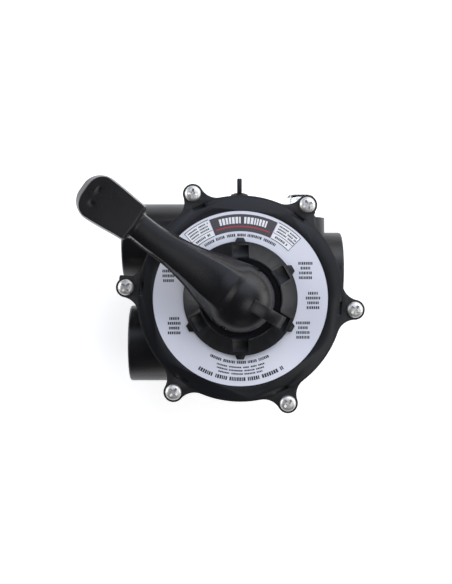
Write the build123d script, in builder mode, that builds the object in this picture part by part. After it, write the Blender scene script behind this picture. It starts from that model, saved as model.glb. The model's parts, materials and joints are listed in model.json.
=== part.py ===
from build123d import *
import os
from math import acos, cos, degrees, radians, sin, sqrt, tan

# Top-mount multiport valve for a pool sand filter: a bowl with three threaded side ports and
# a neck that clamps on the tank, a cover with a notched crown, and a lever that lifts a
# spring-loaded key off its gasket and turns it from one position to the next.
# Millimetres, +Z up, origin on the valve's axis at the foot of the neck.

os.makedirs("parts", exist_ok=True)

# ---- Driving dimensions: casing ----
spigot_height = 16.0            # end of the neck that drops into the tank's mouth
spigot_radius = 56.0
neck_wall = 6.0
clamp_flange_height = 9.0
clamp_flange_radius = 74.0
clamp_bevel = 4.0               # sloping top of the clamp flange
barrel_height = 17.0            # plain neck between clamp flange and bowl
barrel_radius = 58.0
bowl_height = 80.0
bowl_radius = 72.0
bowl_wall = 5.0
bowl_floor = 6.0
bowl_chamfer = 6.0
joint_flange_height = 8.0       # flange that the cover is screwed to
ring_margin = 10.0              # joint flange and cover, beyond the bowl
wall_overlap = 1.0              # how far webs and the plate's rim run into the bowl's wall
plate_rim = 6.0                 # port plate's rim, inside the key's edge
window_half_angle = 24.0        # windows from the neck up into the bowl
window_margin = 1.0
socket_window_margin = 8.0      # socket's side window, less than the height that it opens in

# ---- Driving dimensions: ports ----
port_radius = 31.75             # outside of a 1 1/2 in threaded boss
port_thread_radius = 22.2       # minor radius of the 1 1/2 in pipe thread
port_thread_length = 27.0
port_bore_radius = 19.0
port_axis_height = 38.0         # above the bottom of the bowl
port_edge_round = 2.0
pump_port_y = 48.0
pump_port_rise = 25.5           # mouth beyond the bowl's wall
return_port_y = -38.0
return_port_rise = 20.0
waste_port_y = 24.0
waste_port_rise = 13.5
port_way_depth = 12.0           # how far a port's way runs past the bowl's inner wall

# ---- Driving dimensions: screws and ears ----
screw_count = 6
first_screw_angle = 54.4
bolt_margin = 9.3               # screws' circle beyond the ring
ear_radius = 8.0
ear_fillet = 14.0
ear_height = 6.0
screw_radius = 3.0
screw_hole_clearance = 0.3
screw_head_radius = 6.4
screw_head_height = 3.6
nut_width = 10.0
nut_height = 5.5
screw_point = 2.5               # screw standing out of its nut
thread_clearance = 0.02         # nut's bore round the screw
square_corner_width = 9.4       # the one ear with a square corner
square_corner_length = 20.0
square_corner_round = 1.5

# ---- Driving dimensions: cover ----
ring_height = 8.0
ring_step = 1.5                 # ledge round the raised ring
label_margin = 12.6             # ring's edge to the label's
label_thickness = 0.8
label_recess = 1.0
label_gap = 0.2
crown_radius = 45.2
crown_side = 3.0                # upright wall of the crown above the ring
crown_height = 13.0             # crown's rim above the ring
crown_rim_width = 1.5           # flat rim round the well
crown_edge_round = 2.0
well_radius = 31.5
well_depth = 7.0
well_floor = 5.5
notch_width = 12.3
notch_step_radius = 33.9        # where the notch's shallow step gives way to its pocket
notch_outer_radius = 42.2
notch_step_depth = 4.0
notch_pocket_depth = 12.0
lip_width = 1.4
lip_height = 0.7
nub_reach = 2.9
nub_base = 8.0
nub_tip = 5.0
slot_length = 10.6
slot_width = 3.3
slot_depth = 5.0
slot_margin = 3.0               # middle of a slot to the ring's edge
dish_margin = 5.0               # dish inside the cover, and the rim that locates it
dish_depth = 3.0
locating_rim_height = 4.0
locating_clearance = 0.4
spring_room = 1.5               # chamber beyond the spring's washers

# ---- Driving dimensions: key, stem and spring ----
plate_height = 62.0             # port plate's face above the bottom of the bowl
plate_thickness = 6.0
web_thickness = 4.0
gasket_thickness = 2.5
gasket_width = 4.0
key_clearance = 6.0             # bowl's inner wall to the key
key_rim = 5.0                   # outer wall of the key's opening and pocket
key_opening_half_angle = 24.0
key_pocket_half_angle = 52.0
key_thickness = 9.0
key_boss_radius = 12.0
key_boss_height = 4.5
stem_radius = 8.0
stem_clearance = 0.08
stem_top = 7.0                  # stem's end above the pin
washer_clearance = 0.3
sleeve_radius = 13.0
sleeve_drop = 2.0               # cover's stem sleeve below the joint face
washer_thickness = 1.5
washer_radius = 20.5
spring_wire_radius = 1.5
spring_radius = 17.0
spring_turns = 4
stem_ring_radius = 0.78         # section of the stem's O-rings
stem_groove_depth = 1.6

# ---- Driving dimensions: lever ----
lock_angle = 150.0              # bearing of the lever's tongue line, opposite a notch
arm_angle = 145.3               # bearing of the arm, set a little off the tongue line
pin_height = 17.0               # pin above the well's floor
pin_radius = 3.0
pin_length = 40.0
pin_clearance = 0.05
fulcrum = 14.0                  # pin's axis to the foot that the hub rocks on
lock_tilt = 4.5                 # degrees that the lever drops from clear to locked
seat_gap = 0.05
tooth_clearance = 0.4           # tooth above the notch lips with the lever at rest
tooth_inner = 35.0
tooth_outer = 38.0
tongue_width = 9.6
foot_inset = 9.0                # feet, inside the hub's edge
foot_overlap = 1.0
stem_slot_clearance = 0.3
stem_slot_margin = 1.0
hub_washer_inset = 4.0          # washer, inside the hub's edge
hub_washer_clearance = 0.5
hub_radius = 26.5
hub_rise = 15.0                 # hub's top above the pin
hub_rim = 4.0                   # hub's rim above its washer
arm_length = 100.0              # pivot to the step where the grip starts
arm_pitch = 12.7                # degrees that the arm climbs
grip_length = 45.5
grip_start_width = 30.0
grip_end_width = 36.5
grip_thickness = 11.0
grip_overlap = 2.0              # grip's start, inside the arm's end
grip_shoulder = 0.7             # share of the grip's length where it is widest
grip_end_inset = 2.5
grip_end_round = 11.5
grip_taper = 7.0
grip_rise = 14.5                # grip's foot above the pin, at the arm's end

# ---- Driving dimensions: fittings ----
gauge_boss_radius = 10.0
gauge_boss_rise = 14.0          # boss beyond the bowl's wall
gauge_way_margin = 2.0
gauge_bore_radius = 6.6
plug_shank_radius = 6.5
plug_flange_radius = 7.2
plug_flange_height = 3.0
plug_shank_length = 11.0
plug_wing_thickness = 4.0
plug_wing_width = 13.0
plug_wing_length = 12.0
plug_ring_section = 0.9
plug_wing_round = 1.2
sight_setback = 33.8            # sight glass behind the waste port's mouth
sight_boss_radius = 20.5
sight_boss_rise = 7.085         # gasket's seat beyond the bowl's wall beside it
sight_bore_radius = 11.2
sight_shank_clearance = 0.1
sight_head_radius = 13.0
sight_head_length = 18.3
sight_head_round = 3.0
sight_wall = 2.6
sight_shank_length = 12.0
sight_gasket_thickness = 1.5
pipe_socket_radius = 24.3
pipe_socket_wall = 5.5
pipe_socket_depth = 56.0
pipe_way_radius = 20.0
pipe_seal_section = 1.5
pipe_seal_height = 20.0
cover_ring_margin = 6.0         # O-ring outside the bowl's inner wall
cover_ring_section = 1.8
cover_groove_clearance = 0.2
tank_ring_section = 2.5
tank_ring_height = 8.0

# ---- Heights and sizes that follow ----
ring_radius = bowl_radius + ring_margin
bolt_radius = ring_radius + bolt_margin
label_outer_radius = ring_radius - label_margin
slot_radius = ring_radius - slot_margin
pump_port_reach = bowl_radius + pump_port_rise
return_port_reach = bowl_radius + return_port_rise
waste_port_reach = bowl_radius + waste_port_rise
gauge_boss_reach = bowl_radius + gauge_boss_rise
sight_x = waste_port_reach - sight_setback
bowl_beside_sight = sqrt(bowl_radius**2 - (sight_x - sight_head_radius) ** 2)
sight_boss_reach = bowl_beside_sight + sight_boss_rise
clamp_top = spigot_height + clamp_flange_height
bowl_z = clamp_top + barrel_height
flange_z = bowl_z + bowl_height
joint_z = flange_z + joint_flange_height
ring_top = joint_z + ring_height
ear_top = joint_z + ear_height
crown_top = ring_top + crown_height
well_z = crown_top - well_depth
cavity_radius = bowl_radius - bowl_wall
key_radius = cavity_radius - key_clearance
cover_ring_radius = cavity_radius + cover_ring_margin
floor_top = bowl_z + bowl_floor
plate_z = bowl_z + plate_height
gasket_top = plate_z + gasket_thickness
port_z = bowl_z + port_axis_height
rest_lift = fulcrum * radians(lock_tilt) + seat_gap
key_z = gasket_top + rest_lift
key_top = key_z + key_thickness
pin_z = well_z + pin_height
hub_foot = well_z + washer_thickness
hub_washer_radius = hub_radius - hub_washer_inset
spring_top = well_z - well_floor - washer_thickness
spring_bottom = key_top + washer_thickness
sleeve_z = joint_z - sleeve_drop
socket_outer = pipe_socket_radius + pipe_socket_wall
pin_direction = (-sin(radians(lock_angle)), cos(radians(lock_angle)), 0)
stem_ring_heights = [sleeve_z + 5.5, sleeve_z + 10.5]
notch_angles = [30 + 60 * i for i in range(6)]
screw_angles = [first_screw_angle + 360 / screw_count * i for i in range(screw_count)]
ports = [
    (-1, pump_port_y, pump_port_reach),
    (-1, return_port_y, return_port_reach),
    (1, waste_port_y, waste_port_reach),
]


def crown_surface(radius):
    """Height of the crown's sloping face at a radius."""
    rim = well_radius + crown_rim_width
    slope = (crown_height - crown_side) / (crown_radius - rim)
    return crown_top - slope * (radius - rim)


def polar(radius, angle):
    """Point at a radius and a bearing in degrees."""
    return (radius * cos(radians(angle)), radius * sin(radians(angle)))


def eared_disc(radius):
    """Disc with an ear for each screw, each blended to the disc by a hollow arc."""
    blend_reach = radius + ear_fillet
    lobe_reach = ear_radius + ear_fillet
    cosine = (blend_reach**2 + bolt_radius**2 - lobe_reach**2) / (2 * blend_reach * bolt_radius)
    swing = degrees(acos(cosine))
    blend_centres = [polar(blend_reach, side * swing) for side in (1, -1)]
    root = polar(radius, swing)
    share = ear_radius / lobe_reach
    waist = (
        bolt_radius + share * (blend_centres[0][0] - bolt_radius),
        share * blend_centres[0][1],
    )
    with BuildSketch() as outline:
        Circle(radius)
        for angle in screw_angles:
            with Locations(Rotation(0, 0, angle)):
                Polygon(
                    (0, 0), (root[0], -root[1]), (waist[0], -waist[1]), (bolt_radius, 0),
                    waist, root, align=None,
                )
                with Locations(*blend_centres):
                    Circle(ear_fillet, mode=Mode.SUBTRACT)
                with Locations((bolt_radius, 0)):
                    Circle(ear_radius)
    return outline.sketch


def ring_sector(inner, outer, bearing, half_angle):
    """Part of a flat ring, half_angle to each side of a bearing."""
    reach = 2 * outer
    with BuildSketch() as sector:
        Circle(outer)
        Circle(inner, mode=Mode.SUBTRACT)
        edge_a = polar(reach, bearing - half_angle)
        edge_b = polar(reach, bearing + half_angle)
        Polygon((0, 0), edge_a, polar(reach, bearing), edge_b, align=None, mode=Mode.INTERSECT)
    return sector.sketch


def crown_foot(gap):
    """Outline of the crown and its nubs, with a gap all round."""
    base = nub_base / 2 + gap
    tip = nub_tip / 2 + gap
    reach = crown_radius + nub_reach + gap
    with BuildSketch() as outline:
        Circle(crown_radius + gap)
        for angle in notch_angles:
            with Locations(Rotation(0, 0, angle)):
                Polygon(
                    (crown_radius / 2, -base), (crown_radius, -base), (reach, -tip),
                    (reach, tip), (crown_radius, base), (crown_radius / 2, base), align=None,
                )
    return outline.sketch


def side_plane(angle):
    """Upright plane along a bearing: local x runs out along it and local y is up."""
    out = polar(1, angle)
    return Plane(origin=(0, 0, 0), x_dir=(out[0], out[1], 0), z_dir=(out[1], -out[0], 0))


def cross_plane(distance, angle):
    """Upright plane across a bearing, at a distance along it."""
    out = polar(1, angle)
    origin = (distance * out[0], distance * out[1], 0)
    return Plane(origin=origin, x_dir=(-out[1], out[0], 0), z_dir=(out[0], out[1], 0))


def y_plane(y, x, z):
    """Upright plane facing +Y, with its origin at a point."""
    return Plane(origin=(x, y, z), x_dir=(-1, 0, 0), z_dir=(0, 1, 0))


# ---- Valve body ----
with BuildPart() as body:
    with BuildSketch(Plane.XZ):
        with BuildLine():
            Polyline(
                (0, 0),
                (spigot_radius, 0),
                (spigot_radius, spigot_height),
                (clamp_flange_radius, spigot_height),
                (clamp_flange_radius, clamp_top - clamp_bevel),
                (barrel_radius + clamp_bevel, clamp_top),
                (barrel_radius, clamp_top),
                (barrel_radius, bowl_z),
                (bowl_radius - bowl_chamfer, bowl_z),
                (bowl_radius, bowl_z + bowl_chamfer),
                (bowl_radius, flange_z),
                (0, flange_z),
                close=True,
            )
        make_face()
    revolve(axis=Axis.Z)
    with BuildSketch(Plane.XY.offset(flange_z)):
        add(eared_disc(ring_radius))
    extrude(amount=joint_flange_height)
    # Port bosses, each run back into the bowl's wall
    for side, port_y, reach in ports:
        boss_root = bowl_radius / 2
        with BuildSketch(Plane(origin=(side * reach, port_y, port_z), z_dir=(-side, 0, 0))):
            Circle(port_radius)
        extrude(amount=reach - boss_root)
    mouth_rims = [
        edge
        for edge in body.edges().filter_by(GeomType.CIRCLE)
        for side, port_y, reach in ports
        if abs(edge.radius - port_radius) < 0.01 and abs(edge.arc_center.X - side * reach) < 0.01
    ]
    fillet(mouth_rims, radius=port_edge_round)
    with BuildSketch(y_plane(sight_boss_reach, sight_x, port_z)):
        Circle(sight_boss_radius)
    extrude(amount=-(sight_boss_reach - waste_port_y))
    with BuildSketch(y_plane(gauge_boss_reach, 0, port_z)):
        Circle(gauge_boss_radius)
    extrude(amount=-(gauge_boss_reach - cavity_radius))
    # Bowl and the inside of the neck
    with BuildSketch(Plane.XY.offset(floor_top)):
        Circle(cavity_radius)
    extrude(amount=joint_z - floor_top, mode=Mode.SUBTRACT)
    with BuildSketch():
        Circle(spigot_radius - neck_wall)
    extrude(amount=bowl_z, mode=Mode.SUBTRACT)
    # Webs between the six ports of the plate, and the rim of the plate
    with BuildSketch(Plane.XY.offset(floor_top)):
        with PolarLocations(cavity_radius / 2, 6):
            Rectangle(cavity_radius + wall_overlap, web_thickness)
    extrude(amount=plate_z - floor_top)
    with BuildSketch(Plane.XY.offset(plate_z - plate_thickness)):
        Circle(cavity_radius + wall_overlap)
        Circle(key_radius - plate_rim, mode=Mode.SUBTRACT)
    extrude(amount=plate_thickness)
    # Standpipe socket, with its way out into one sector
    with BuildSketch():
        Circle(socket_outer)
    extrude(amount=plate_z)
    with BuildSketch():
        Circle(pipe_socket_radius)
    extrude(amount=pipe_socket_depth, mode=Mode.SUBTRACT)
    with BuildSketch(Plane.XY.offset(pipe_seal_height)):
        Circle(pipe_socket_radius + 2 * pipe_seal_section)
    extrude(amount=2 * pipe_seal_section, mode=Mode.SUBTRACT)
    with BuildSketch(Plane.XY.offset(pipe_socket_depth)):
        Circle(pipe_way_radius)
    extrude(amount=plate_z - plate_thickness - pipe_socket_depth, mode=Mode.SUBTRACT)
    window_room = plate_z - plate_thickness - pipe_socket_depth
    with BuildSketch(cross_plane(0, notch_angles[0] - 60)):
        with Locations((0, pipe_socket_depth + window_room / 2)):
            Rectangle(pipe_way_radius, window_room - socket_window_margin)
    extrude(amount=socket_outer + window_margin, mode=Mode.SUBTRACT)
    # Windows from the neck up into two sectors
    window_inner = socket_outer + window_margin
    window_outer = spigot_radius - neck_wall
    with BuildSketch(Plane.XY.offset(bowl_z)):
        for bearing in (90, -90):
            add(ring_sector(window_inner, window_outer, bearing, window_half_angle))
    extrude(amount=bowl_floor, mode=Mode.SUBTRACT)
    # Threaded mouths and the ways into the bowl
    for side, port_y, reach in ports:
        with BuildSketch(Plane(origin=(side * reach, port_y, port_z), z_dir=(-side, 0, 0))):
            Circle(port_thread_radius)
        extrude(amount=port_thread_length, mode=Mode.SUBTRACT)
        way_end = sqrt(cavity_radius**2 - port_y**2) - port_way_depth
        with BuildSketch(Plane(origin=(side * reach, port_y, port_z), z_dir=(-side, 0, 0))):
            Circle(port_bore_radius)
        extrude(amount=reach - way_end, mode=Mode.SUBTRACT)
    with BuildSketch(y_plane(sight_boss_reach, sight_x, port_z)):
        Circle(sight_bore_radius)
    extrude(amount=-(sight_boss_reach - waste_port_y), mode=Mode.SUBTRACT)
    with BuildSketch(y_plane(gauge_boss_reach, 0, port_z)):
        Circle(gauge_bore_radius)
    extrude(amount=-(gauge_boss_reach - cavity_radius + gauge_way_margin), mode=Mode.SUBTRACT)
    # Grooves for the tank's O-ring and the cover's, and the screw holes
    with BuildSketch(Plane.XY.offset(tank_ring_height - tank_ring_section)):
        Circle(spigot_radius)
        Circle(spigot_radius - tank_ring_section, mode=Mode.SUBTRACT)
    extrude(amount=2 * tank_ring_section, mode=Mode.SUBTRACT)
    groove_half_width = cover_ring_section + cover_groove_clearance
    with BuildSketch(Plane.XY.offset(joint_z)):
        Circle(cover_ring_radius + groove_half_width)
        Circle(cover_ring_radius - groove_half_width, mode=Mode.SUBTRACT)
    extrude(amount=-2 * cover_ring_section, mode=Mode.SUBTRACT)
    with BuildSketch(Plane.XY.offset(flange_z)):
        with PolarLocations(bolt_radius, screw_count, first_screw_angle):
            Circle(screw_radius + screw_hole_clearance)
    extrude(amount=joint_flange_height, mode=Mode.SUBTRACT)
body.part.label = "valve_body"
export_step(body.part, "parts/valve_body.step")

# ---- Cover ----
# Lips that stand round the notches follow the crown's own profile, a little higher
crown_profile = [
    (crown_radius, crown_surface(crown_radius)),
    (well_radius + crown_rim_width, crown_top),
    (well_radius, crown_top),
]
with BuildPart() as lips:
    with BuildSketch(Plane.XZ):
        with BuildLine():
            Polyline(
                (well_radius, ring_top),
                (crown_radius, ring_top),
                *[(radius, height + lip_height) for radius, height in crown_profile],
                close=True,
            )
        make_face()
    revolve(axis=Axis.Z)
    with BuildSketch(Plane.XY.offset(ring_top)):
        for angle in notch_angles:
            with Locations(Rotation(0, 0, angle)):
                with Locations(((well_radius + notch_outer_radius + lip_width) / 2, 0)):
                    Rectangle(notch_outer_radius + lip_width - well_radius,
                              notch_width + 2 * lip_width)
    extrude(amount=crown_height + lip_height, mode=Mode.INTERSECT)

with BuildPart() as cover:
    with BuildSketch(Plane.XY.offset(joint_z)):
        add(eared_disc(ring_radius))
        # The ear with the assembly mark has one square corner
        with Locations(Rotation(0, 0, screw_angles[2])):
            with Locations((bolt_radius - ear_radius / 2, -square_corner_width / 2)):
                RectangleRounded(
                    square_corner_length, square_corner_width, radius=square_corner_round)
    extrude(amount=ear_height)
    with BuildSketch(Plane.XY.offset(joint_z)):
        Circle(ring_radius - ring_step)
    extrude(amount=ring_height)
    with BuildSketch(Plane.XZ):
        with BuildLine():
            Polyline(
                (0, ring_top - label_recess),
                (crown_radius, ring_top - label_recess),
                *crown_profile,
                (well_radius, well_z),
                (0, well_z),
                close=True,
            )
        make_face()
    revolve(axis=Axis.Z)
    crown_edges = [
        edge
        for edge in cover.edges().filter_by(GeomType.CIRCLE)
        if abs(edge.radius - crown_radius) < 0.01 and edge.arc_center.Z > ring_top
    ]
    fillet(crown_edges, radius=crown_edge_round)
    well_rim = [
        edge
        for edge in cover.edges().filter_by(GeomType.CIRCLE)
        if edge.arc_center.Z > crown_top - 0.01
    ]
    fillet(well_rim, radius=crown_rim_width / 3)
    add(lips.part)
    # Nubs at the foot of the crown that the label is cut round
    with BuildSketch(Plane.XY.offset(ring_top - label_recess)):
        add(crown_foot(0))
    extrude(amount=label_recess + crown_side)
    # Seat for the label, round the crown and its nubs
    with BuildSketch(Plane.XY.offset(ring_top)):
        Circle(label_outer_radius + label_gap)
        add(crown_foot(0), mode=Mode.SUBTRACT)
    extrude(amount=-label_recess, mode=Mode.SUBTRACT)
    # Notches: a shallow step by the well, then a deep pocket
    notch_inner_radius = well_radius - 2 * crown_rim_width
    with BuildSketch(Plane.XY.offset(crown_top - notch_step_depth)):
        for angle in notch_angles:
            with Locations(Rotation(0, 0, angle)):
                with Locations(((notch_inner_radius + notch_outer_radius) / 2, 0)):
                    Rectangle(notch_outer_radius - notch_inner_radius, notch_width)
    extrude(amount=notch_step_depth + lip_height, mode=Mode.SUBTRACT)
    with BuildSketch(Plane.XY.offset(crown_top - notch_pocket_depth)):
        for angle in notch_angles:
            with Locations(Rotation(0, 0, angle)):
                with Locations(((notch_step_radius + notch_outer_radius) / 2, 0)):
                    Rectangle(notch_outer_radius - notch_step_radius, notch_width)
    extrude(amount=notch_pocket_depth, mode=Mode.SUBTRACT)
    # Inside: a shallow dish over the key, the spring's chamber and the stem's sleeve
    with BuildSketch(Plane.XY.offset(joint_z)):
        Circle(cavity_radius - dish_margin)
    extrude(amount=dish_depth, mode=Mode.SUBTRACT)
    with BuildSketch(Plane.XY.offset(joint_z)):
        Circle(cavity_radius - locating_clearance)
        Circle(cavity_radius - dish_margin, mode=Mode.SUBTRACT)
    extrude(amount=-locating_rim_height)
    with BuildSketch(Plane.XY.offset(joint_z)):
        Circle(washer_radius + spring_room)
    extrude(amount=well_z - well_floor - joint_z, mode=Mode.SUBTRACT)
    with BuildSketch(Plane.XY.offset(sleeve_z)):
        Circle(sleeve_radius)
    extrude(amount=well_z - sleeve_z)
    with BuildSketch(Plane.XY.offset(sleeve_z)):
        Circle(stem_radius + stem_clearance)
    extrude(amount=well_z - sleeve_z, mode=Mode.SUBTRACT)
    # Slots by the ears, and the screw holes
    with BuildSketch(Plane.XY.offset(ring_top)):
        with PolarLocations(slot_radius, screw_count, first_screw_angle):
            Rectangle(slot_width, slot_length)
    extrude(amount=-slot_depth, mode=Mode.SUBTRACT)
    with BuildSketch(Plane.XY.offset(joint_z)):
        with PolarLocations(bolt_radius, screw_count, first_screw_angle):
            Circle(screw_radius + screw_hole_clearance)
    extrude(amount=ear_height, mode=Mode.SUBTRACT)
cover.part.label = "cover"
export_step(cover.part, "parts/cover.step")

# ---- Position label: a printed plate round the crown ----
with BuildPart() as label:
    with BuildSketch(Plane.XY.offset(ring_top - label_recess)):
        Circle(label_outer_radius)
        add(crown_foot(label_gap), mode=Mode.SUBTRACT)
    extrude(amount=label_thickness)
label.part.label = "position_label"
export_step(label.part, "parts/position_label.step")

# ---- Cover screws: pan heads with a cross recess, seated on the ears ----
shank_length = ear_height + joint_flange_height + nut_height + screw_point
with BuildPart() as screws:
    for angle in screw_angles:
        centre = polar(bolt_radius, angle)
        with BuildSketch(Plane.XY.offset(ear_top)):
            with Locations(centre):
                Circle(screw_head_radius)
        extrude(amount=screw_head_height)
        with BuildSketch(Plane.XY.offset(ear_top - shank_length)):
            with Locations(centre):
                Circle(screw_radius)
        extrude(amount=shank_length)
    head_rims = screws.edges().filter_by(GeomType.CIRCLE).group_by(Axis.Z)[-1]
    fillet(head_rims, radius=screw_head_height * 0.6)
    with BuildSketch(Plane.XY.offset(ear_top + screw_head_height)):
        with PolarLocations(bolt_radius, screw_count, first_screw_angle):
            Rectangle(screw_head_radius, screw_head_radius / 5)
            Rectangle(screw_head_radius / 5, screw_head_radius)
    extrude(amount=-screw_head_height * 0.6, mode=Mode.SUBTRACT)
screws.part.label = "cover_screws"
export_step(screws.part, "parts/cover_screws.step")

# ---- Nuts under the joint flange ----
with BuildPart() as nuts:
    with BuildSketch(Plane.XY.offset(flange_z - nut_height)):
        with PolarLocations(bolt_radius, screw_count, first_screw_angle):
            RegularPolygon(nut_width / 2, 6, major_radius=False)
            Circle(screw_radius + thread_clearance, mode=Mode.SUBTRACT)
    extrude(amount=nut_height)
nuts.part.label = "cover_nuts"
export_step(nuts.part, "parts/cover_nuts.step")

# ---- Seals between casing pieces ----
with BuildPart() as cover_o_ring:
    with Locations((0, 0, joint_z - cover_ring_section)):
        Torus(cover_ring_radius, cover_ring_section)
cover_o_ring.part.label = "cover_o_ring"
export_step(cover_o_ring.part, "parts/cover_o_ring.step")

with BuildPart() as tank_o_ring:
    with Locations((0, 0, tank_ring_height)):
        Torus(spigot_radius, tank_ring_section)
tank_o_ring.part.label = "tank_o_ring"
export_step(tank_o_ring.part, "parts/tank_o_ring.step")

with BuildPart() as pipe_seal:
    with Locations((0, 0, pipe_seal_height + pipe_seal_section)):
        Torus(pipe_socket_radius + pipe_seal_section, pipe_seal_section)
pipe_seal.part.label = "standpipe_seal"
export_step(pipe_seal.part, "parts/standpipe_seal.step")

# ---- Spider gasket: a ring and six spokes on the port plate, with a hub in the middle ----
with BuildPart() as gasket:
    with BuildSketch(Plane.XY.offset(plate_z)):
        Circle(key_radius)
        Circle(key_radius - gasket_width, mode=Mode.SUBTRACT)
        Circle(pipe_way_radius)
        Circle(pipe_way_radius - gasket_width, mode=Mode.SUBTRACT)
        with PolarLocations((key_radius + pipe_way_radius - gasket_width) / 2, 6):
            Rectangle(key_radius - pipe_way_radius, gasket_width)
    extrude(amount=gasket_thickness)
gasket.part.label = "spider_gasket"
export_step(gasket.part, "parts/spider_gasket.step")

# ---- Key: the rotor that joins ports in pairs, and its stem ----
with BuildPart() as key:
    with BuildSketch(Plane.XY.offset(key_z)):
        Circle(key_radius)
        add(
            ring_sector(pipe_way_radius, key_radius - key_rim, lock_angle, key_opening_half_angle),
            mode=Mode.SUBTRACT,
        )
    extrude(amount=key_thickness)
    with BuildSketch(Plane.XY.offset(key_z)):
        add(ring_sector(
            pipe_way_radius, key_radius - key_rim, lock_angle + 180, key_pocket_half_angle))
    extrude(amount=key_thickness / 2, mode=Mode.SUBTRACT)
    with BuildSketch(Plane.XY.offset(key_top)):
        Circle(key_boss_radius)
    extrude(amount=key_boss_height)
    with BuildSketch(Plane.XY.offset(key_top)):
        Circle(stem_radius)
    extrude(amount=pin_z + stem_top - key_top)
    for ring_z in stem_ring_heights:
        with BuildSketch(Plane.XY.offset(ring_z)):
            Circle(stem_radius)
            Circle(stem_radius - stem_groove_depth, mode=Mode.SUBTRACT)
        extrude(amount=2 * stem_ring_radius, mode=Mode.SUBTRACT)
    with BuildSketch(Plane(origin=(0, 0, pin_z), z_dir=pin_direction)):
        Circle(pin_radius)
    extrude(amount=2 * stem_radius, both=True, mode=Mode.SUBTRACT)
key.part.label = "key"
export_step(key.part, "parts/key.step")

with BuildPart() as stem_o_rings:
    for ring_z in stem_ring_heights:
        with Locations((0, 0, ring_z + stem_ring_radius)):
            Torus(stem_radius - stem_groove_depth + stem_ring_radius, stem_ring_radius)
stem_o_rings.part.label = "stem_o_rings"
export_step(stem_o_rings.part, "parts/stem_o_rings.step")

# ---- Spring on the stem, between two washers ----
with BuildPart() as upper_washer:
    with BuildSketch(Plane.XY.offset(spring_top)):
        Circle(washer_radius)
        Circle(sleeve_radius + washer_clearance, mode=Mode.SUBTRACT)
    extrude(amount=washer_thickness)
upper_washer.part.label = "upper_slip_washer"
export_step(upper_washer.part, "parts/upper_slip_washer.step")

with BuildPart() as lower_washer:
    with BuildSketch(Plane.XY.offset(key_top)):
        Circle(washer_radius)
        Circle(key_boss_radius + washer_clearance, mode=Mode.SUBTRACT)
    extrude(amount=washer_thickness)
lower_washer.part.label = "lower_spring_washer"
export_step(lower_washer.part, "parts/lower_spring_washer.step")

coil_height = spring_top - spring_bottom - 2 * spring_wire_radius
with BuildPart() as spring:
    with BuildLine():
        coil = Helix(
            pitch=coil_height / spring_turns, height=coil_height, radius=spring_radius,
            center=(0, 0, spring_bottom + spring_wire_radius),
        )
    with BuildSketch(Plane(origin=coil @ 0, z_dir=coil % 0)):
        Circle(spring_wire_radius)
    sweep(is_frenet=True)
spring.part.label = "key_spring"
export_step(spring.part, "parts/key_spring.step")

# ---- Washer under the lever's hub ----
with BuildPart() as handle_washer:
    with BuildSketch(Plane.XY.offset(well_z)):
        Circle(hub_washer_radius)
        Circle(stem_radius + hub_washer_clearance, mode=Mode.SUBTRACT)
    extrude(amount=washer_thickness)
handle_washer.part.label = "handle_washer"
export_step(handle_washer.part, "parts/handle_washer.step")

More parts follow.
